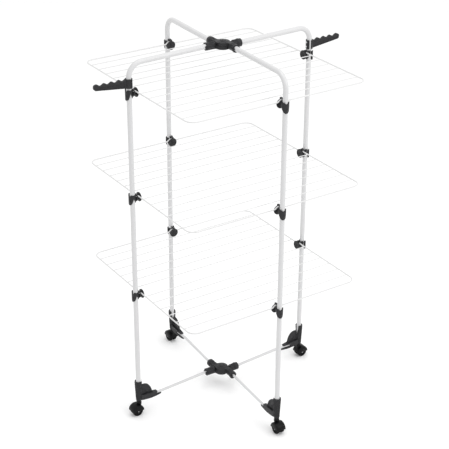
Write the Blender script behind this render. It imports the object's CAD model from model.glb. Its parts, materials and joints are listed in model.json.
import json
import math
import bmesh
import bpy
from mathutils import Matrix, Vector


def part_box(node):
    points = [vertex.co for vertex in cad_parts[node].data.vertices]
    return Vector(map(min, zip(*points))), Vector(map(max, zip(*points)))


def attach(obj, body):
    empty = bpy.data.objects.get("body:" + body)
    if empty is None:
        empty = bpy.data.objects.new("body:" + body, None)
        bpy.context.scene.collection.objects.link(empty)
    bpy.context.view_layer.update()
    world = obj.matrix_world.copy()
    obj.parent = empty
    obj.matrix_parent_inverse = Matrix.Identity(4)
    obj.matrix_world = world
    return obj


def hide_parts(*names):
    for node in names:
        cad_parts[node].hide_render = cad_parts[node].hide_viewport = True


# Tower clothes airer: two crossing tube frames, three tiers of wire wings, hanger arms, feet on castors.
# Small mouldings are drawn in millimetres round their own axis, then scaled and set in place.
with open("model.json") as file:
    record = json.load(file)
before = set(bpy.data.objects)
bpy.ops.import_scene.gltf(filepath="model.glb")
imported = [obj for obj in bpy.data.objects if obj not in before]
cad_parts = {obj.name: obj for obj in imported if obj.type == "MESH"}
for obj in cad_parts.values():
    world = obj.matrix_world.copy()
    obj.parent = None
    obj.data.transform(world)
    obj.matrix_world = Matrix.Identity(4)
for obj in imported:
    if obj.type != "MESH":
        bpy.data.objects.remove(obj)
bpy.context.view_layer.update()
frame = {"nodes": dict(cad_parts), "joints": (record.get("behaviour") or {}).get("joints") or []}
mm = 0.001
print("frame loaded:", len(frame["nodes"]), "nodes")


def middle(node):
    low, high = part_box(node)
    return (low + high) / 2


def hinge(name):
    return next(Vector(joint["pos_m"]) for joint in frame["joints"] if joint["name"] == name)


airer = {
    "reach": middle("upright_right").x,            # hub axis to an upright
    "topRail": middle("top_hub_side").z,
    "bottomRail": middle("bottom_hub_side").z,
    "tubeRadius": 0.00925,
    "railRadius": 0.005,
    "wireRadius": 0.0025,
    "hubStep": 0.013,                              # sideways step of the tubes at the hubs
    "pinRise": 0.006,                              # front wing's pins above a clip's middle
    "pinStep": 0.008,
    "clipDrop": 0.0025,                            # a clip's middle below its tier
}
boreGap = 0.15                                     # millimetres between a tube and its bore
tubeBore = airer["tubeRadius"] / mm + boreGap
tierNumbers = (1, 2, 3)
tiers = [hinge(f"wing_front_{tier}_hinge").z - airer["pinRise"] for tier in tierNumbers]
corners = [
    {"side": "right", "turn": 0, "step": -1, "body": "side_frame", "hand": 1},
    {"side": "left", "turn": math.pi, "step": -1, "body": "side_frame", "hand": -1},
    {"side": "back", "turn": math.pi / 2, "step": 1, "body": "cross_frame", "hand": 0},
    {"side": "front", "turn": -math.pi / 2, "step": 1, "body": "cross_frame", "hand": 0},
]


# camera, light and floor
shot = {
    "target": (-0.0177, 0.0406, 0.699),
    "azimuth": -32.76,
    "elevation": 26.79,
    "distance": 4.669,
    "lens": 100.26,
    "sensor": 36,
    "shiftX": 0.0275,
    "shiftY": -0.0034,
    "farClip": 60,
}


def makeCamera():
    camera = bpy.data.objects.new("camera", bpy.data.cameras.new("camera"))
    bpy.context.scene.collection.objects.link(camera)
    a, e = math.radians(shot["azimuth"]), math.radians(shot["elevation"])
    back = Vector((math.sin(a) * math.cos(e), -math.cos(a) * math.cos(e), math.sin(e)))
    camera.location = Vector(shot["target"]) + back * shot["distance"]
    camera.rotation_euler = (-back).to_track_quat("-Z", "Y").to_euler()
    camera.data.lens = shot["lens"]
    camera.data.sensor_width = shot["sensor"]
    camera.data.shift_x = shot["shiftX"]
    camera.data.shift_y = shot["shiftY"]
    camera.data.clip_end = shot["farClip"]
    bpy.context.scene.camera = camera


studio = {
    "worldColor": (1, 1, 1, 1),
    "worldLight": 1.0,
    "keyPower": 30,
    "keySize": 2.4,
    "keyPlace": (1.6, -3.2, 3.0),
    "topPower": 34,
    "topSize": 3.0,
    "topPlace": (0.2, -0.4, 4.6),
    "aim": (0, 0, 0.7),
    "floorSize": 40,
    "floorColor": (0.97, 0.97, 0.97),
}


def makeLamp(name, power, size, place):
    lamp = bpy.data.objects.new(name, bpy.data.lights.new(name, "AREA"))
    bpy.context.scene.collection.objects.link(lamp)
    lamp.data.energy = power
    lamp.data.shape = "DISK"
    lamp.data.size = size
    lamp.location = place
    lamp.rotation_euler = (Vector(studio["aim"]) - Vector(place)).to_track_quat("-Z", "Y").to_euler()


def makeStudio(floorPaint):
    world = bpy.data.worlds.new("studio")
    bpy.context.scene.world = world
    world.use_nodes = True
    world.node_tree.nodes["Background"].inputs["Color"].default_value = studio["worldColor"]
    world.node_tree.nodes["Background"].inputs["Strength"].default_value = studio["worldLight"]
    makeLamp("key", studio["keyPower"], studio["keySize"], studio["keyPlace"])
    makeLamp("top", studio["topPower"], studio["topSize"], studio["topPlace"])
    bpy.ops.mesh.primitive_plane_add(size=studio["floorSize"])
    floor = bpy.context.object
    floor.name = "floor"
    floor.data.materials.append(floorPaint)
    bpy.context.scene.view_settings.view_transform = "Standard"


surface = {
    "coatRoughness": 0.15,
    "grainDetail": 3,
    "grainDepth": 0.0004,
}


def finish(name, color, roughness, grain=0.0, grainScale=900.0, metallic=0.0,
           coat=0.0, mottle=0.0, shine=0.5):
    # grain roughens the surface and mottle varies its gloss
    paint = bpy.data.materials.new(name)
    paint.use_nodes = True
    nodes, links = paint.node_tree.nodes, paint.node_tree.links
    shader = nodes["Principled BSDF"]
    shader.inputs["Base Color"].default_value = (*color, 1)
    shader.inputs["Roughness"].default_value = roughness
    shader.inputs["Metallic"].default_value = metallic
    shader.inputs["Specular IOR Level"].default_value = shine
    shader.inputs["Coat Weight"].default_value = coat
    shader.inputs["Coat Roughness"].default_value = surface["coatRoughness"]
    if grain or mottle:
        place = nodes.new("ShaderNodeTexCoord")
        speckle = nodes.new("ShaderNodeTexNoise")
        speckle.inputs["Scale"].default_value = grainScale
        speckle.inputs["Detail"].default_value = surface["grainDetail"]
        links.new(place.outputs["Object"], speckle.inputs["Vector"])
    if grain:
        relief = nodes.new("ShaderNodeBump")
        relief.inputs["Strength"].default_value = grain
        relief.inputs["Distance"].default_value = surface["grainDepth"]
        links.new(speckle.outputs["Fac"], relief.inputs["Height"])
        links.new(relief.outputs["Normal"], shader.inputs["Normal"])
    if mottle:
        ramp = nodes.new("ShaderNodeMapRange")
        ramp.inputs["To Min"].default_value = roughness - mottle
        ramp.inputs["To Max"].default_value = roughness + mottle
        links.new(speckle.outputs["Fac"], ramp.inputs["Value"])
        links.new(ramp.outputs["Result"], shader.inputs["Roughness"])
    return paint


paints = {
    "enamel": finish("whiteEnamel", (0.61, 0.61, 0.615), 0.3, grain=0.06, grainScale=420,
                     coat=0.2, mottle=0.05),
    "wire": finish("wireEnamel", (0.67, 0.67, 0.67), 0.32, coat=0.2),
    "plastic": finish("greyPlastic", (0.02, 0.02, 0.022), 0.44, grain=0.22, grainScale=1100,
                      mottle=0.06, shine=0.24),
    "black": finish("blackPlastic", (0.003, 0.003, 0.0035), 0.34, grain=0.1, mottle=0.05, shine=0.16),
    "tyre": finish("blackTyre", (0.003, 0.003, 0.0035), 0.6, grain=0.25, grainScale=700,
                   mottle=0.08, shine=0.14),
    "steel": finish("bareSteel", (0.55, 0.56, 0.57), 0.3, metallic=1.0, grain=0.05, mottle=0.06),
    "floor": finish("paleFloor", studio["floorColor"], 0.9),
}
makeCamera()
makeStudio(paints["floor"])
print("studio ready")


tiny = 1e-6          # a smaller radius is a point on the axis
mergeGap = 1e-5      # corners closer than this become one


# solids: each helper gives a closed mesh in millimetres
def meshFrom(bm):
    bmesh.ops.remove_doubles(bm, verts=bm.verts, dist=mergeGap)
    bmesh.ops.recalc_face_normals(bm, faces=bm.faces)
    mesh = bpy.data.meshes.new("solid")
    bm.to_mesh(mesh)
    bm.free()
    return mesh


def block(x0, x1, y0, y1, z0, z1):
    bm = bmesh.new()
    bmesh.ops.create_cube(bm, size=1)
    bmesh.ops.scale(bm, vec=(x1 - x0, y1 - y0, z1 - z0), verts=bm.verts)
    bmesh.ops.translate(bm, vec=((x0 + x1) / 2, (y0 + y1) / 2, (z0 + z1) / 2), verts=bm.verts)
    return meshFrom(bm)


def extruded(outline, sweep):
    bm = bmesh.new()
    low = [bm.verts.new(point) for point in outline]
    high = [bm.verts.new(Vector(point) + Vector(sweep)) for point in outline]
    bm.faces.new(low)
    bm.faces.new(list(reversed(high)))
    for i in range(len(outline)):
        j = (i + 1) % len(outline)
        bm.faces.new((low[j], low[i], high[i], high[j]))
    return meshFrom(bm)


def plate(outline, y0, y1):
    return extruded([(x, y0, z) for x, z in outline], (0, y1 - y0, 0))


def slab(outline, z0, z1):
    return extruded([(x, y, z0) for x, y in outline], (0, 0, z1 - z0))


def turned(profile, steps=40):
    bm = bmesh.new()
    angles = [2 * math.pi * (i + 0.5) / steps for i in range(steps)]
    rings = []
    for radius, height in profile:
        if radius < tiny:
            rings.append([bm.verts.new((0, 0, height))] * steps)
        else:
            ring = [(radius * math.cos(a), radius * math.sin(a), height) for a in angles]
            rings.append([bm.verts.new(point) for point in ring])
    pairs = list(zip(rings, rings[1:]))
    if profile[0][0] > tiny:
        pairs.append((rings[-1], rings[0]))
    for lower, upper in pairs:
        for i in range(steps):
            j = (i + 1) % steps
            loop = list(dict.fromkeys((lower[i], lower[j], upper[j], upper[i])))
            if len(loop) > 2:
                bm.faces.new(loop)
    return meshFrom(bm)


def rod(radius, z0, z1, steps):
    return turned([(0, z0), (radius, z0), (radius, z1), (0, z1)], steps)


def moved(mesh, *matrices):
    for matrix in matrices:
        mesh.transform(matrix)
    return mesh


def along(axis):
    return {"x": Matrix.Rotation(math.pi / 2, 4, "Y"), "y": Matrix.Rotation(-math.pi / 2, 4, "X")}[axis]


def shift(x, y, z):
    return Matrix.Translation((x, y, z))


def arc(cx, cz, radius, start, end, steps):
    angles = [math.radians(start + (end - start) * i / steps) for i in range(steps + 1)]
    return [(cx + radius * math.cos(a), cz + radius * math.sin(a)) for a in angles]


def curve(a, control, b, steps):
    # from a to b, drawn towards the control point, without a itself
    points = []
    for i in range(1, steps + 1):
        t = i / steps
        shares = ((1 - t) ** 2, 2 * t * (1 - t), t * t)
        points.append(tuple(shares[0] * p + shares[1] * q + shares[2] * r for p, q, r in zip(a, control, b)))
    return points


def scratch(mesh):
    piece = bpy.data.objects.new("scratch", mesh)
    bpy.context.scene.collection.objects.link(piece)
    return piece


def settled(piece):
    graph = bpy.context.evaluated_depsgraph_get()
    mesh = bpy.data.meshes.new_from_object(piece.evaluated_get(graph))
    bpy.data.objects.remove(piece)
    return mesh


sharpAngle = math.radians(38)      # sharper edges are eased


def moulding(shapes, cuts=(), edge=0.6, edgeSteps=2, within=()):
    # one closed moulding: shapes joined, kept within the limits, cuts taken out, sharp edges eased
    piece = scratch(shapes[0])
    helpers = []
    for operation, meshes in (("UNION", shapes[1:]), ("INTERSECT", within), ("DIFFERENCE", cuts)):
        for mesh in meshes:
            helper = scratch(mesh)
            helpers.append(helper)
            step = piece.modifiers.new("join", "BOOLEAN")
            step.operation = operation
            step.solver = "EXACT"
            step.object = helper
    if edge:
        ease = piece.modifiers.new("ease", "BEVEL")
        ease.width = edge
        ease.segments = edgeSteps
        ease.limit_method = "ANGLE"
        ease.angle_limit = sharpAngle
        ease.use_clamp_overlap = True
    mesh = settled(piece)
    for helper in helpers:
        bpy.data.objects.remove(helper)
    return mesh


def together(meshes):
    bm = bmesh.new()
    for mesh in meshes:
        bm.from_mesh(mesh)
    mesh = bpy.data.meshes.new("together")
    bm.to_mesh(mesh)
    bm.free()
    return mesh


smoothAngle = math.radians(35)     # sharper edges stay crisp in the shading


def setPiece(name, mesh, paint, body, place=None, replaces=()):
    # a finished piece: its place goes into its mesh and its object stays at the origin
    mesh = mesh.copy()
    if place is not None:
        mesh.transform(place)
    mesh.name = name
    mesh.materials.clear()
    mesh.materials.append(paint)
    mesh.shade_smooth()
    mesh.set_sharp_from_angle(angle=smoothAngle)
    piece = bpy.data.objects.new(name, mesh)
    bpy.context.scene.collection.objects.link(piece)
    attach(piece, body)
    if replaces:
        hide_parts(*replaces)


def atCorner(turn, height=0.0):
    # millimetre drawing round an upright's axis, +x outwards, to its place on the airer
    return Matrix.Rotation(turn, 4, "Z") @ shift(airer["reach"], 0, height) @ Matrix.Scale(mm, 4)


def newTree(name, inputs):
    tree = bpy.data.node_groups.new(name, "GeometryNodeTree")
    tree.interface.new_socket("Geometry", in_out="INPUT", socket_type="NodeSocketGeometry")
    for label, kind in inputs:
        tree.interface.new_socket(label, in_out="INPUT", socket_type=f"NodeSocket{kind}")
    tree.interface.new_socket("Geometry", in_out="OUTPUT", socket_type="NodeSocketGeometry")
    return tree, tree.nodes.new("NodeGroupInput"), tree.nodes.new("NodeGroupOutput")


def endTree(tree, given, made, out):
    # real faces and a material at the end of every tree
    real = tree.nodes.new("GeometryNodeRealizeInstances")
    coated = tree.nodes.new("GeometryNodeSetMaterial")
    tree.links.new(made, real.inputs["Geometry"])
    tree.links.new(real.outputs["Geometry"], coated.inputs["Geometry"])
    tree.links.new(given.outputs["Finish"], coated.inputs["Material"])
    tree.links.new(coated.outputs["Geometry"], out.inputs["Geometry"])


def grown(tree, base, values):
    # runs a tree on a mesh and gives the plain mesh it makes
    piece = scratch(base)
    step = piece.modifiers.new(tree.name, "NODES")
    step.node_group = tree
    for item in tree.interface.items_tree:
        if item.in_out == "INPUT" and item.name in values:
            step[item.identifier] = values[item.name]
    piece.update_tag()
    return settled(piece)


def bentTubeTree():
    # a tube along a path, bent at each point by the radius stored there
    tree, given, out = newTree("bentTube", [("Radius", "Float"), ("Sides", "Int"), ("Bend steps", "Int"),
                                            ("Finish", "Material")])
    nodes, links = tree.nodes, tree.links
    path = nodes.new("GeometryNodeMeshToCurve")
    bendSize = nodes.new("GeometryNodeInputNamedAttribute")
    bendSize.data_type = "FLOAT"
    bendSize.inputs["Name"].default_value = "bendRadius"
    bends = nodes.new("GeometryNodeFilletCurve")
    bends.mode = "POLY"
    bends.inputs["Limit Radius"].default_value = True
    section = nodes.new("GeometryNodeCurvePrimitiveCircle")
    swept = nodes.new("GeometryNodeCurveToMesh")
    swept.inputs["Fill Caps"].default_value = True
    links.new(given.outputs["Geometry"], path.inputs["Mesh"])
    links.new(path.outputs["Curve"], bends.inputs["Curve"])
    links.new(bendSize.outputs["Attribute"], bends.inputs["Radius"])
    links.new(given.outputs["Bend steps"], bends.inputs["Count"])
    links.new(given.outputs["Radius"], section.inputs["Radius"])
    links.new(given.outputs["Sides"], section.inputs["Resolution"])
    links.new(bends.outputs["Curve"], swept.inputs["Curve"])
    links.new(section.outputs["Curve"], swept.inputs["Profile Curve"])
    endTree(tree, given, swept.outputs["Mesh"], out)
    return tree


wireMesh = {"sides": 10, "beadSegments": 12, "beadRings": 7, "beadStretch": (1.5, 1, 0.8)}


def wireRowTree():
    # a row of straight wires with a weld bead at both ends of each
    tree, given, out = newTree("wireRow", [("Count", "Int"), ("First", "Vector"), ("Step", "Vector"),
                                           ("Half length", "Float"), ("Radius", "Float"),
                                           ("Weld radius", "Float"), ("Finish", "Material")])
    nodes, links = tree.nodes, tree.links
    row = nodes.new("GeometryNodeMeshLine")
    row.mode = "OFFSET"
    links.new(given.outputs["Count"], row.inputs["Count"])
    links.new(given.outputs["First"], row.inputs["Start Location"])
    links.new(given.outputs["Step"], row.inputs["Offset"])
    wire = nodes.new("GeometryNodeMeshCylinder")
    wire.inputs["Vertices"].default_value = wireMesh["sides"]
    wire.inputs["Side Segments"].default_value = 1
    length = nodes.new("ShaderNodeMath")
    length.operation = "MULTIPLY"
    length.inputs[1].default_value = 2
    links.new(given.outputs["Half length"], length.inputs[0])
    links.new(length.outputs[0], wire.inputs["Depth"])
    links.new(given.outputs["Radius"], wire.inputs["Radius"])
    lying = nodes.new("GeometryNodeTransform")
    lying.inputs["Rotation"].default_value = (0, math.pi / 2, 0)
    links.new(wire.outputs["Mesh"], lying.inputs["Geometry"])
    weld = nodes.new("GeometryNodeMeshUVSphere")
    weld.inputs["Segments"].default_value = wireMesh["beadSegments"]
    weld.inputs["Rings"].default_value = wireMesh["beadRings"]
    links.new(given.outputs["Weld radius"], weld.inputs["Radius"])
    bundle = nodes.new("GeometryNodeJoinGeometry")
    links.new(lying.outputs["Geometry"], bundle.inputs["Geometry"])
    for sign in (-1, 1):
        reach = nodes.new("ShaderNodeMath")
        reach.operation = "MULTIPLY"
        reach.inputs[1].default_value = sign
        links.new(given.outputs["Half length"], reach.inputs[0])
        spot = nodes.new("ShaderNodeCombineXYZ")
        links.new(reach.outputs[0], spot.inputs["X"])
        bead = nodes.new("GeometryNodeTransform")
        bead.inputs["Scale"].default_value = wireMesh["beadStretch"]
        links.new(weld.outputs["Mesh"], bead.inputs["Geometry"])
        links.new(spot.outputs["Vector"], bead.inputs["Translation"])
        links.new(bead.outputs["Geometry"], bundle.inputs["Geometry"])
    copies = nodes.new("GeometryNodeInstanceOnPoints")
    links.new(row.outputs["Mesh"], copies.inputs["Points"])
    links.new(bundle.outputs["Geometry"], copies.inputs["Instance"])
    endTree(tree, given, copies.outputs["Instances"], out)
    return tree


def ribRingTree():
    # copies of the given mesh turned round the Z axis, from a first angle, by an even step
    tree, given, out = newTree("ribRing", [("Count", "Int"), ("First angle", "Float"),
                                           ("Angle step", "Float"), ("Finish", "Material")])
    nodes, links = tree.nodes, tree.links
    row = nodes.new("GeometryNodeMeshLine")
    row.inputs["Offset"].default_value = (0, 0, 0)
    links.new(given.outputs["Count"], row.inputs["Count"])
    index = nodes.new("GeometryNodeInputIndex")
    swing = nodes.new("ShaderNodeMath")
    swing.operation = "MULTIPLY_ADD"
    links.new(index.outputs["Index"], swing.inputs[0])
    links.new(given.outputs["Angle step"], swing.inputs[1])
    links.new(given.outputs["First angle"], swing.inputs[2])
    angles = nodes.new("ShaderNodeCombineXYZ")
    links.new(swing.outputs[0], angles.inputs["Z"])
    turn = nodes.new("FunctionNodeEulerToRotation")
    links.new(angles.outputs["Vector"], turn.inputs["Euler"])
    copies = nodes.new("GeometryNodeInstanceOnPoints")
    links.new(row.outputs["Mesh"], copies.inputs["Points"])
    links.new(given.outputs["Geometry"], copies.inputs["Instance"])
    links.new(turn.outputs["Rotation"], copies.inputs["Rotation"])
    endTree(tree, given, copies.outputs["Instances"], out)
    return tree


def ribRowTree():
    # copies of the given mesh along a straight row
    tree, given, out = newTree("ribRow", [("Count", "Int"), ("Step", "Vector"), ("Finish", "Material")])
    nodes, links = tree.nodes, tree.links
    row = nodes.new("GeometryNodeMeshLine")
    links.new(given.outputs["Count"], row.inputs["Count"])
    links.new(given.outputs["Step"], row.inputs["Offset"])
    copies = nodes.new("GeometryNodeInstanceOnPoints")
    links.new(row.outputs["Mesh"], copies.inputs["Points"])
    links.new(given.outputs["Geometry"], copies.inputs["Instance"])
    endTree(tree, given, copies.outputs["Instances"], out)
    return tree


trees = {"tube": bentTubeTree(), "wires": wireRowTree(), "ring": ribRingTree(), "row": ribRowTree()}
print("node trees built")


def pathMesh(points):
    # points are (position, bend radius there)
    mesh = bpy.data.meshes.new("path")
    mesh.from_pydata([point for point, _ in points], [(i, i + 1) for i in range(len(points) - 1)], [])
    radii = mesh.attributes.new("bendRadius", "FLOAT", "POINT")
    for i, (_, radius) in enumerate(points):
        radii.data[i].value = radius
    return mesh


def tube(points, radius, sides, paint, bendSteps=14):
    values = {"Radius": radius, "Sides": sides, "Bend steps": bendSteps, "Finish": paint}
    return grown(trees["tube"], pathMesh(points), values)


frameTube = {
    "bend": 0.05,
    "kink": 0.09,          # soft bend where a rail leaves the hub
    "socketSeat": 0.030,
    "socketMouth": 0.076,
    "foot": 0.104,         # height of an upright's lower end
    "railSeat": 0.066,     # upright axis to a foot's cradle
    "railBendIn": 0.04,    # bottom rail's outer bend and its end, on each side of the cradle's place
    "railEndOut": 0.03,
    "sides": 28,
}


def makeTubes(corner):
    turn, step, side = corner["turn"], corner["step"], corner["side"]
    reach, top, low = airer["reach"], airer["topRail"], airer["bottomRail"]
    offset = step * airer["hubStep"]
    cradle = reach - frameTube["railSeat"]
    place = Matrix.Rotation(turn, 4, "Z")
    upright = tube([
        (Vector((frameTube["socketSeat"], offset, top)), 0),
        (Vector((frameTube["socketMouth"], offset, top)), frameTube["kink"]),
        (Vector((reach, 0, top)), frameTube["bend"]),
        (Vector((reach, 0, frameTube["foot"])), 0),
    ], airer["tubeRadius"], frameTube["sides"], paints["enamel"])
    setPiece(f"bentTube_{side}", upright, paints["enamel"], corner["body"], place,
             [f"upright_{side}", f"top_tube_{side}"])
    rail = tube([
        (Vector((frameTube["socketSeat"], offset, low)), 0),
        (Vector((frameTube["socketMouth"], offset, low)), frameTube["kink"]),
        (Vector((cradle - frameTube["railBendIn"], 0, low)), frameTube["kink"]),
        (Vector((cradle + frameTube["railEndOut"], 0, low)), 0),
    ], airer["railRadius"], frameTube["sides"], paints["enamel"])
    setPiece(f"bottomRail_{side}", rail, paints["enamel"], corner["body"], place,
             [f"bottom_tube_{side}"])


for corner in corners:
    makeTubes(corner)
print("tubes bent")


wingWire = {
    "endRail": 0.357,      # half the length between the end rails
    "depth": 0.357,        # hub axis to the outer rail
    "cornerBend": 0.032,
    "pinBend": 0.004,
    "pinReach": 0.0075,
    "humpFoot": 0.019,
    "humpTop": 0.008,
    "humpRise": 0.008,
    "humpBend": 0.009,
    "sides": 14,           # of the border's round
    "bendSteps": 9,
    "lineRadius": 0.0016,
    "firstLine": 0.041,
    "linePitch": 0.053,
    "lines": 6,
    "weld": 0.0024,
}


def makeWing(direction, tier):
    pin = hinge(f"wing_{direction}_{tier}_hinge")
    sign = -1 if direction == "front" else 1
    end, far, near, z = wingWire["endRail"], sign * wingWire["depth"], pin.y, pin.z
    tip = end + wingWire["pinReach"]
    rise = z + wingWire["humpRise"]
    foot, top, soft = wingWire["humpFoot"], wingWire["humpTop"], wingWire["humpBend"]
    corner, sharp = wingWire["cornerBend"], wingWire["pinBend"]
    route = [
        ((-tip, near, z), 0), ((-end, near, z), sharp), ((-end, far, z), corner),
        ((-foot, far, z), soft), ((-top, far, rise), soft), ((top, far, rise), soft), ((foot, far, z), soft),
        ((end, far, z), corner), ((end, near, z), sharp), ((tip, near, z), 0),
    ]
    body = f"wing_{direction}_{tier}"
    border = tube(route, airer["wireRadius"], wingWire["sides"], paints["wire"], wingWire["bendSteps"])
    setPiece(f"wingBorder_{direction}_{tier}", border, paints["wire"], body, None, [body])
    lines = grown(trees["wires"], bpy.data.meshes.new("none"), {
        "Count": wingWire["lines"],
        "First": (0, sign * wingWire["firstLine"], z),
        "Step": (0, sign * wingWire["linePitch"], 0),
        "Half length": wingWire["endRail"],
        "Radius": wingWire["lineRadius"],
        "Weld radius": wingWire["weld"],
        "Finish": paints["wire"],
    })
    setPiece(f"dryingWires_{direction}_{tier}", lines, paints["wire"], body)


for tier in tierNumbers:
    for direction in ("front", "back"):
        makeWing(direction, tier)
print("wings wired")


# clips: x runs round the rack, y outwards, z up, the upright's axis at zero
clip = {
    "half": 14.8, "low": -24, "high": 15, "aside": 2.4,      # the outer shield
    "crown": 12.2, "bow": 19.2,                              # its face from the tube's axis, its curve
    "innerHalf": 10.6, "innerLow": -19,                      # the cheek on the hub's side of the tube
    "innerCrown": 12.1, "innerBow": 12.2,
    "skin": 2.5, "notch": 8.4, "notchRise": 2,               # both leaves
    "ear": 1.5, "shoulder": 4, "flank": 13, "tipRise": 4, "waist": 0.62, "point": 0.35,
    "leafSteps": 96, "leafHalf": 40, "nearest": 0.5, "farthest": 30,
    "disc": 17, "discFace": 28.4, "discThick": 4.4, "dish": 1.6, "ring": 0.4,
    "bearingOut": 15, "bearingIn": 10.6, "neckHalf": 4.6, "neckRise": 8, "pinHole": 2.9,
    "fingerHalf": 3.4, "fingerLow": 19.9, "fingerHigh": 22.2, "fingerTop": 21,
    "rivetDrop": 8, "rivetSink": 0.4,
    "hingeRise": (airer["pinRise"] + airer["clipDrop"]) / mm,
    "lowHingeRise": (airer["pinRise"] + airer["clipDrop"]) / mm - 4,
}


def shieldOutline(half, low):
    # rounded shoulders with a notch between them, and a blunt point below
    high, ear, shoulder = clip["high"], clip["ear"], clip["shoulder"]
    waist, point = half * clip["waist"], half * clip["point"]
    flank, tip = low + clip["flank"], low + clip["tipRise"]
    points = [(half - ear, high)]
    points += arc(0, high + clip["notchRise"], clip["notch"], -13, -167, 14)
    points += [(ear - half, high)]
    points += curve(points[-1], (-half, high), (-half, high - shoulder), 4)
    points += curve(points[-1], (-half, flank), (-waist, tip), 7)
    points += curve(points[-1], (-point, low), (0, low), 6)
    points += curve(points[-1], (point, low), (waist, tip), 6)
    points += curve(points[-1], (half, flank), (half, high - shoulder), 7)
    points += curve(points[-1], (half, high), (half - ear, high), 4)[:-1]
    return points


def turnClip(mesh):
    return moved(mesh, Matrix.Rotation(-math.pi / 2, 4, "Z"))


def bowedShell(outline, crown, bow, side):
    # a curved leaf round the tube, `crown` from the tube's axis and `side` 1 outside or -1 inside
    centre = shift(0, side * (crown - bow), 0)
    half, steps = clip["leafHalf"], clip["leafSteps"]
    leaf = moved(rod(bow, -half, half, steps), centre)
    hollow = moved(rod(bow - clip["skin"], -half - 10, half + 10, steps), centre)
    near, far = sorted((clip["nearest"] * side, clip["farthest"] * side))
    return moulding([leaf], [hollow], edge=0.7, edgeSteps=3, within=[plate(outline, near, far)])


def outerShield():
    shell = bowedShell(shieldOutline(clip["half"], clip["low"]), clip["crown"], clip["bow"], 1)
    return moved(shell, shift(clip["aside"], 0, 0))


def innerCheek():
    outline = shieldOutline(clip["innerHalf"], clip["innerLow"])
    return bowedShell(outline, clip["innerCrown"], clip["innerBow"], -1)


def hookDisc():
    # the round end of a hook, with a raised rim and a ring in the middle
    rim, face = clip["disc"], -clip["discFace"]
    dish, ring, back = face + clip["dish"], face + clip["ring"], face + clip["discThick"]
    profile = [(0, dish), (3, dish), (3.6, ring), (5.2, ring), (5.8, dish), (rim - 4.2, dish),
               (rim - 3.4, face), (rim - 1.2, face), (rim, face + 1.2), (rim, back), (0, back)]
    return moved(turned(profile, 48), along("y"))


def pivotHook(hand):
    # a bearing plate beside the tube with a hole for each wing's pin, and a neck out to the disc
    plan = ([(-13, -5)] + curve((-13, -5), (-14, 14), (-8, 14), 6) + [(8, 14)]
            + curve((8, 14), (14, 14), (13, -5), 6) + [(6, -12), (-6, -12)])
    bearing = plate(plan, -clip["bearingOut"], -clip["bearingIn"])
    neck = block(-clip["neckHalf"], clip["neckHalf"], -25, -14, -clip["neckRise"], clip["neckRise"])
    holes = []
    for sign, rise in ((hand, clip["hingeRise"]), (-hand, clip["lowHingeRise"])):
        hole = moved(rod(clip["pinHole"], -clip["bearingOut"] - 0.5, -8, 20), along("y"))
        holes.append(moved(hole, shift(sign * airer["pinStep"] / mm, 0, rise)))
    return moulding([hookDisc(), bearing, neck], holes)


def restHook():
    # a narrow finger over the outer rail, joined to the disc outside and to the tube's side inside
    half, top = clip["fingerHalf"], clip["fingerTop"]
    over = arc(0, 0, clip["fingerHigh"], 80, 100, 6) + arc(0, 0, clip["fingerLow"], 100, 80, 6)
    finger = plate(over, -28.2, -10.4)
    lift = block(-half, half, -28, -25, 6, top)
    root = block(-half, half, -12.1, -9.9, 4, top)
    return moulding([hookDisc(), finger, lift, root], edge=0.7)


def rivetHead():
    head = turned([(0, 0), (4.6, 0), (4.6, 0.5), (3.9, 1.1), (2.6, 1.6), (2.2, 1.2), (0, 1.1)], 24)
    return moved(head, along("y"), shift(0, clip["crown"] - clip["rivetSink"], -clip["rivetDrop"]))


def makeClips():
    shield = turnClip(outerShield())
    cheek = turnClip(innerCheek())
    hooks = {0: turnClip(restHook()), 1: turnClip(pivotHook(1)), -1: turnClip(pivotHook(-1))}
    rivet = turnClip(rivetHead())
    for corner in corners:
        for tier, height in enumerate(tiers, 1):
            tag = f"{corner['side']}_{tier}"
            place = atCorner(corner["turn"], height - airer["clipDrop"])
            body = corner["body"]
            setPiece(f"clipShield_{tag}", shield, paints["plastic"], body, place, [f"clip_{tag}"])
            setPiece(f"clipCheek_{tag}", cheek, paints["plastic"], body, place)
            setPiece(f"clipHook_{tag}", hooks[corner["hand"]], paints["plastic"], body, place)
            setPiece(f"clipRivet_{tag}", rivet, paints["plastic"], body, place)


makeClips()
print("clips set")


# feet: ribbed sleeve, web and forked cradle, drawn round the upright's axis with the hub towards -x
foot = {
    "top": 147, "bottom": 62, "topRadius": 14, "bottomRadius": 10, "collar": 10.8,
    "fork": 46, "forkReach": 13.8, "forkHalf": 9, "forkPoint": 1.5,
    "ribs": 14, "rib": 0.9, "ribsCover": 0.68,          # share of the sleeve's round with ribs on it
    "web": 3.2, "pocketFloor": 2,                       # half thicknesses of the web and of its thin middle
    "webRibs": 3, "webRibStep": (-7.5, 0, -5.5), "webRibLean": 38,
    "rail": 68, "longProng": 96, "shortProng": 79,      # the bottom rail's height, the cradle's two ends
    "tubeEnd": 104, "tunnel": 5.15, "slotHalf": 4.6,
}


def footWeb():
    rail, top = foot["rail"], foot["top"]
    return ([(-4, top - 26)] + curve((-4, top - 26), (-44, top - 10), (-56, rail + 20), 16)
            + curve((-56, rail + 20), (-58, rail + 12), (-64, rail + 8), 6)
            + [(-64, rail)] + curve((-60, rail - 6), (-40, rail - 12), (-4, rail - 8), 8))


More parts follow.
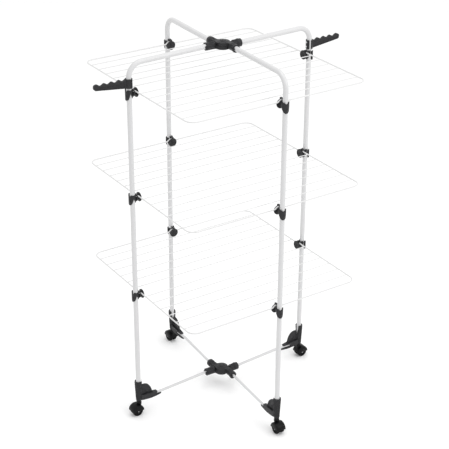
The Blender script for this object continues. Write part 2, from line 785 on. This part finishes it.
def footCradle():
    # a trough under the bottom rail, narrow at its long end
    rail, far, near = foot["rail"], -foot["longProng"], -foot["shortProng"]
    plan = slab([(-6, -9), (-6, 9), (-50, 8.4), (far, 5.4), (far, -5.4), (-50, -8.4)], rail - 30, rail + 30)
    belly = curve((far, rail - 8.4), (-60, rail - 16), (-8, rail - 7), 14)
    rim = [(-8, rail + 16), (-40, rail + 13), (near, rail + 8), (near + 1, rail + 4), (near + 4, rail),
           (far - 1, rail - 4)]
    trough = plate([(far + 1, rail - 8.4)] + belly + rim, -14, 14)
    return moulding([trough], edge=0, within=[plan])


def footShell(step):
    rail, top, bottom, far = foot["rail"], foot["top"], foot["bottom"], -foot["longProng"]
    sleeve = turned([(0, bottom), (foot["bottomRadius"], bottom), (foot["topRadius"], top), (0, top)], 44)
    collarRadius = foot["collar"]
    collar = turned([(0, bottom), (collarRadius - 0.4, bottom), (collarRadius, 66), (10, 70), (0, 70)], 44)
    web = plate(footWeb(), -foot["web"], foot["web"])
    # the fork's opening: straight above, then narrowing to its point
    reach, wide, point, depth = foot["forkReach"], foot["forkHalf"], foot["forkPoint"], top - foot["fork"]
    wedge = slab([(0, -wide), (0, wide), (-reach, wide), (-reach, -wide)], top - 14, top + 4)
    taper = extruded([(-reach, -wide, top - 13.9), (-reach, wide, top - 13.9),
                      (-reach, point, depth), (-reach, -point, depth)], (reach, 0, 0))
    bore = rod(tubeBore, foot["tubeEnd"], top + 8, 36)
    tunnel = moved(rod(foot["tunnel"], far - 10, -30, 28), along("x"), shift(0, 0, rail))
    near, side = sorted((0, 14 * step))
    openSide = block(far - 10, -46, near, side, rail - foot["slotHalf"], rail + foot["slotHalf"])
    pocket = [(-16, rail + 13), (-16, top - 33)]
    pocket += curve(pocket[-1], (-44, top - 24), (-51, rail + 15), 8)
    pockets = [plate(pocket, foot["pocketFloor"], 9), plate(pocket, -9, -foot["pocketFloor"])]
    return moulding([sleeve, collar, web, footCradle()],
                    [bore, wedge, taper, tunnel, openSide, *pockets], edge=0.7)


def footRibs():
    slope = math.atan((foot["topRadius"] - foot["bottomRadius"]) / (foot["top"] - foot["bottom"]))
    half = (foot["top"] - foot["bottom"] - 6) / 2
    middleRadius = (foot["topRadius"] + foot["bottomRadius"]) / 2
    rib = moved(rod(foot["rib"], -half, half, 10), Matrix.Rotation(slope, 4, "Y"),
                shift(middleRadius, 0, (foot["top"] + foot["bottom"]) / 2 - 1))
    step = 2 * math.pi * foot["ribsCover"] / (foot["ribs"] - 1)
    ribs = grown(trees["ring"], rib, {"Count": foot["ribs"], "First angle": -step * (foot["ribs"] - 1) / 2,
                                      "Angle step": step, "Finish": paints["plastic"]})
    webRib = moved(rod(foot["rib"], -11, 11, 10), Matrix.Rotation(math.radians(foot["webRibLean"]), 4, "Y"))
    webRibs = []
    for side in (-1, 1):
        base = moved(webRib.copy(), shift(-22, side * (foot["pocketFloor"] + 0.1), foot["rail"] + 31))
        webRibs.append(grown(trees["row"], base, {"Count": foot["webRibs"], "Step": foot["webRibStep"],
                                                  "Finish": paints["plastic"]}))
    return together([ribs, *webRibs])


def makeFeet():
    trim = footRibs()
    shells = {step: footShell(step) for step in (-1, 1)}
    for corner in corners:
        side, place = corner["side"], atCorner(corner["turn"])
        setPiece(f"footShell_{side}", shells[corner["step"]], paints["plastic"], corner["body"],
                 place, [f"foot_{side}"])
        setPiece(f"footRibs_{side}", trim, paints["plastic"], corner["body"], place)


makeFeet()
print("feet set")


# castors: drawn round the upright's axis, the wheels' axle trailing outwards
castor = {
    "trail": 11, "axle": 21,                            # where the axle lies, outwards and up
    "axleRadius": 3, "axleHalf": 16.4,
    "wheel": 21, "width": 11.4, "gap": 4.4, "tyreSeat": 13.4,
    "spokes": 6, "firstSpoke": 0.2,
    "hood": 25, "hoodHalf": 19, "hollow": 22.6, "hollowHalf": 17, "skirt": 1.5,
    "core": 16, "coreHalf": 3.6, "finHalf": 8, "finRise": 23,
    "stem": 4, "stemLow": 61, "stemHigh": 83,
}


def wheelMesh():
    # drawn round the axle, the outer face up
    r, w, seat = castor["wheel"], castor["width"], castor["tyreSeat"]
    tyre = turned([(seat, 0.8), (15.4, 0), (r - 2.4, 0), (r - 0.6, 1), (r, 2.6), (r, w - 3),
                   (r - 0.8, w - 1.2), (r - 2.6, w), (15.8, w), (seat, w - 1)], 48)
    disc = turned([(0, 2.2), (13.6, 2.2), (13.6, w - 2.6), (12.4, w - 1.4), (11, w - 2.8), (6.6, w - 2.8),
                   (5.6, w - 0.6), (4.4, w + 0.4), (0, w + 0.6)], 48)
    spoke = block(5.4, 12.2, -0.9, 0.9, w - 3.4, w - 1.7)
    spokes = grown(trees["ring"], spoke, {"Count": castor["spokes"], "First angle": castor["firstSpoke"],
                                          "Angle step": 2 * math.pi / castor["spokes"],
                                          "Finish": paints["black"]})
    return tyre, together([disc, spokes])


def hoodMesh():
    # a hollow drum open below, a core round the axle between the wheels, and a neck on top
    trail, level = castor["trail"], castor["axle"]
    onAxle = shift(trail, 0, level)
    r, half = castor["hood"], castor["hoodHalf"]
    drum = turned([(0, -half), (r - 3.5, -half), (r - 1, 1.4 - half), (r, 4 - half), (r, half - 4),
                   (r - 1, half - 1.4), (r - 3.5, half), (0, half)], 48)
    hollow = rod(castor["hollow"], -castor["hollowHalf"], castor["hollowHalf"], 48)
    skirt = block(trail - 40, trail + 40, -30, 30, -20, level + castor["skirt"])
    shell = moulding([moved(drum, along("y"), onAxle)], [moved(hollow, along("y"), onAxle), skirt], edge=0.5)
    web = moved(rod(castor["core"], -castor["coreHalf"], castor["coreHalf"], 36), along("y"), onAxle)
    fin = block(trail - castor["finHalf"], trail + castor["finHalf"],
                -castor["coreHalf"], castor["coreHalf"], level, level + castor["finRise"])
    axleHole = moved(rod(castor["axleRadius"] + 0.1, -20, 20, 20), along("y"), onAxle)
    core = moulding([web, fin], [axleHole], edge=0.4)
    neck = turned([(0, 40), (8.6, 40), (9.8, 44), (10.2, 52), (9.4, 58), (8.8, 61.4), (0, 61.4)], 36)
    return together([shell, core, neck])


def makeCastors():
    trail, level = castor["trail"], castor["axle"]
    tyre, disc = wheelMesh()
    hood = hoodMesh()
    stem = rod(castor["stem"], castor["stemLow"], castor["stemHigh"], 20)
    axle = moved(rod(castor["axleRadius"], -castor["axleHalf"], castor["axleHalf"], 24), along("y"),
                 shift(trail, 0, level))
    for corner in corners:
        side, place = corner["side"], atCorner(corner["turn"])
        swivels, rolls = f"castor_{side}", f"wheels_{side}"
        setPiece(f"castorHood_{side}", hood, paints["black"], swivels, place,
                 [f"castor_hood_{side}"])
        setPiece(f"castorStem_{side}", stem, paints["steel"], swivels, place)
        setPiece(f"castorAxle_{side}", axle, paints["steel"], rolls, place,
                 [f"castor_axle_{side}"])
        for number, face, flip in ((1, -1, math.pi), (2, 1, 0)):
            spin = (place @ shift(trail, face * castor["gap"], level) @ Matrix.Rotation(flip, 4, "Z")
                    @ along("y"))
            setPiece(f"tyre_{side}_{number}", tyre, paints["tyre"], rolls, spin,
                     [f"castor_wheel_{side}_{number}"])
            setPiece(f"wheelDisc_{side}_{number}", disc, paints["black"], rolls, spin)


makeCastors()
print("castors set")


# hubs: two halves on one bolt, drawn round the bolt with the arms along x
hub = {
    "disc": 25, "layer": 12, "gap": 0.3,                # radius of the middle, a half's height, half the gap
    "reach": 64, "socket": 12.8, "mouth": 14.2, "seat": 30, "armHalf": 9.2,
    "ribs": 5, "rib": 0.9, "ribSpread": 24,
    "bolt": 4, "cap": 8.8, "capSeat": 10.4, "topPlate": 20, "underPlate": 19,
    "step": airer["hubStep"] / mm,
}


def armPlan(y):
    # one arm's outline from the middle outwards, stepped sideways by y to its socket
    reach, wide = hub["reach"], hub["armHalf"]
    upper = ([(0, 21)] + curve((0, 21), (14, 21), (28, y + 10), 8)
             + curve((28, y + 10), (46, y + 7.4), (reach, y + wide), 8))
    lower = (curve((reach, y - wide), (46, y - 7.4), (28, y - 10), 8)
             + curve((28, y - 10), (14, -21), (0, -21), 8))
    return upper + [(reach, y - wide)] + lower


def hubHalf(y, low, high, pipe):
    reach, socket, mouth = hub["reach"], hub["socket"], hub["mouth"]
    shapes = [rod(hub["disc"], low, high, 48)]
    cuts = []
    for turn in (0, math.pi):
        spin = Matrix.Rotation(turn, 4, "Z")
        shapes.append(moved(slab(armPlan(y), low, high), spin))
        barrel = turned([(0, hub["disc"] + 3), (socket - 1.5, hub["disc"] + 3), (socket, 33),
                         (socket - 0.4, 46), (mouth, 60), (mouth, reach), (0, reach)], 40)
        shapes.append(moved(barrel, along("x"), shift(0, y, 0), spin))
        bore = rod(pipe + boreGap, hub["seat"] - 0.3, reach + 20, 32)
        cuts.append(moved(bore, along("x"), shift(0, y, 0), spin))
    return shapes, cuts


def prongPair(y, pipe):
    # two short fingers that run out along the tube from a socket's mouth
    fingers = []
    for side in (-1, 1):
        root, tip = y + side * (hub["mouth"] - 4.2), y + side * (pipe + 2.2)
        outline = [(58, root - 3.6), (58, root + 3.6), (65, tip + 2.2), (69.4, tip + 1.2), (70.2, tip),
                   (69.4, tip - 1.2), (65, tip - 1.9)]
        fingers.append(slab(outline, -5, 5))
    return fingers


def domeEnd(y):
    bm = bmesh.new()
    bmesh.ops.create_uvsphere(bm, u_segments=36, v_segments=20, radius=1)
    bmesh.ops.scale(bm, vec=(14.5, 15.4, 14.8), verts=bm.verts)
    bmesh.ops.translate(bm, vec=(53.5, y, 0.5), verts=bm.verts)
    return meshFrom(bm)


def hubRibs(y):
    # a fan of ribs on top of each arm's barrel
    rib = moved(rod(hub["rib"], 32, 61, 10), along("x"), shift(0, 0, hub["socket"] + 0.1),
                Matrix.Rotation(-math.pi / 2, 4, "Y"))
    spread = math.radians(hub["ribSpread"])
    ring = grown(trees["ring"], rib, {"Count": hub["ribs"], "First angle": -spread * (hub["ribs"] - 1) / 2,
                                      "Angle step": spread, "Finish": paints["plastic"]})
    ring = moved(ring, Matrix.Rotation(math.pi / 2, 4, "Y"), shift(0, y, 0))
    return together([moved(ring.copy(), Matrix.Rotation(turn, 4, "Z")) for turn in (0, math.pi)])


def makeHub(level, height, tubeRadius):
    pipe = tubeRadius / mm
    place = Matrix.Translation((0, 0, height)) @ Matrix.Scale(mm, 4)
    thick, gap, top, under = hub["layer"], hub["gap"], hub["topPlate"], hub["underPlate"]
    topPlate = [(0, 8), (top, 8), (top, 12.2), (top - 2.5, 13.6), (0, 13.8)]
    underPlate = [(0, -13.6), (under - 2, -13.4), (under, -12.2), (under, -8), (0, -8)]
    halves = [("side", -hub["step"], -thick, -gap, underPlate, [], 0),
              ("cross", hub["step"], gap, thick, topPlate, [rod(hub["capSeat"], 12.4, 20, 36)], math.pi / 2)]
    # the arms to the right and back end in a dome, those to the left and front in fingers
    for half, y, low, high, cover, seat, turn in halves:
        shapes, cuts = hubHalf(y, low, high, pipe)
        fingers = [moved(finger, Matrix.Rotation(math.pi, 4, "Z")) for finger in prongPair(y, pipe)]
        shapes += [domeEnd(y), *fingers, turned(cover, 48)]
        cuts += [*seat, rod(hub["bolt"] + 0.3, -30, 30, 24)]
        spun = place @ Matrix.Rotation(turn, 4, "Z")
        title, rider = half.capitalize(), f"{half}_frame"
        setPiece(f"{level}Hub{title}", moulding(shapes, cuts, edge=1.0), paints["plastic"], rider,
                 spun, [f"{level}_hub_{half}"])
        setPiece(f"{level}HubRibs{title}", hubRibs(y), paints["plastic"], rider, spun)
    shank, cap = hub["bolt"], hub["cap"]
    bolt = turned([(0, -13), (shank, -13), (shank, 12.6), (cap, 12.6), (cap, 14), (cap - 1.2, 15),
                   (4.5, 15.6), (3.4, 14.6), (0, 14.6)], 36)
    nut = turned([(0, -16.6), (6.4, -16.6), (7.6, -15.6), (7.6, -13.7), (0, -13.7)], 6)
    setPiece(f"{level}HubBolt", together([bolt, nut]), paints["plastic"], "side_frame", place,
             [f"{level}_hub_bolt"])


makeHub("top", airer["topRail"], airer["tubeRadius"])
makeHub("bottom", airer["bottomRail"], airer["railRadius"])
print("hubs set")


# hanger arms: drawn round the upright's axis, the blade towards +x
armLow, armHigh = (point.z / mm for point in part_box("hanger_clamp_left"))
arm = {
    "low": armLow, "high": armHigh, "start": 14, "tip": 133, "bumps": 4,
    "thick": 5, "pocket": 1.5,                          # half thickness, depth of the hollow in each face
    "ribs": 2, "rib": 0.8, "ribStep": (-6, 0, 6.5), "ribLean": 0.8,
    "sleeve": 13.5, "sleeveTurn": 11,                   # the sleeve is cut along a plane turned this far
    "clamp": 12.6, "clampFace": -6.4,
    "screw": 3.6, "screwInset": 8,
}


def bladeOutline():
    low, high, tip, start = arm["low"], arm["high"], arm["tip"], arm["start"]
    pitch = (tip - 8 - start) / arm["bumps"]
    points = [(7, low), (tip - 8, high - 18)]
    points += curve(points[-1], (tip, high - 17), (tip, high - 8), 6)
    points += curve(points[-1], (tip, high + 1), (tip - 8, high + 2), 6)
    for i in reversed(range(arm["bumps"])):
        x = start + i * pitch
        points += curve(points[-1], (x + pitch * 0.78, high + 4.2), (x + pitch * 0.46, high - 4.4), 6)
        points += curve(points[-1], (x + pitch * 0.26, high - 6.4), (x, high), 4)
    points.append((7, high))
    return points


def armBody():
    low, high, tip, thick, pocket = arm["low"], arm["high"], arm["tip"], arm["thick"], arm["pocket"]
    blade = plate(bladeOutline(), -thick, thick)
    sleeve = rod(arm["sleeve"], low, high, 44)
    innerHalf = moved(block(-24, -0.5, -24, 24, low - 5, high + 5),
                      Matrix.Rotation(math.radians(arm["sleeveTurn"]), 4, "Z"))
    bore = rod(tubeBore, low - 5, high + 5, 36)
    inset = [(18, low + 6), (tip - 10, high - 16), (tip - 5, high - 13.6), (tip - 5, high - 9),
             (18, high - 9)]
    pockets = [plate(inset, thick - pocket, thick + 2), plate(inset, -thick - 2, pocket - thick)]
    body = moulding([blade, sleeve], [innerHalf, bore, *pockets], edge=0.8)
    slant = math.atan2(high - low - 22, tip - 20) * arm["ribLean"]
    ribs = []
    for face in (-1, 1):
        bar = moved(rod(arm["rib"], -44, 44, 10), along("x"), Matrix.Rotation(-slant, 4, "Y"),
                    shift(66, face * (thick - pocket), low + 18))
        ribs.append(grown(trees["row"], bar, {"Count": arm["ribs"], "Step": arm["ribStep"],
                                              "Finish": paints["plastic"]}))
    return together([body, *ribs])


def clampBody():
    low, high = arm["low"], arm["high"]
    bore = rod(tubeBore, low - 5, high + 5, 36)
    front = block(arm["clampFace"], 20, -20, 20, low - 5, high + 5)
    return moulding([rod(arm["clamp"], low, high, 40)], [bore, front], edge=1)


def clampScrews():
    r, inset = arm["screw"], arm["screwInset"]
    screw = moved(turned([(0, 0), (r, 0), (r, 0.7), (r - 1, 1.5), (0, 1.7)], 24),
                  Matrix.Rotation(-math.pi / 2, 4, "Y"), shift(0.3 - arm["clamp"], 0, arm["low"] + inset))
    apart = (0, 0, arm["high"] - arm["low"] - 2 * inset)
    return grown(trees["row"], screw, {"Count": 2, "Step": apart, "Finish": paints["steel"]})


def makeArm(side, turn):
    place, rider = atCorner(turn), f"hanger_{side}"
    setPiece(f"hangerBlade_{side}", armBody(), paints["plastic"], rider, place,
             [f"hanger_arm_{side}"])
    setPiece(f"hangerClamp_{side}", clampBody(), paints["plastic"], rider, place,
             [f"hanger_clamp_{side}"])
    setPiece(f"clampScrews_{side}", clampScrews(), paints["steel"], rider, place)


for corner in corners[:2]:
    makeArm(corner["side"], corner["turn"])
print("hanger arms set")


looseMeshes = [mesh for mesh in bpy.data.meshes if not mesh.users]
for mesh in looseMeshes:
    bpy.data.meshes.remove(mesh)
print("size written")
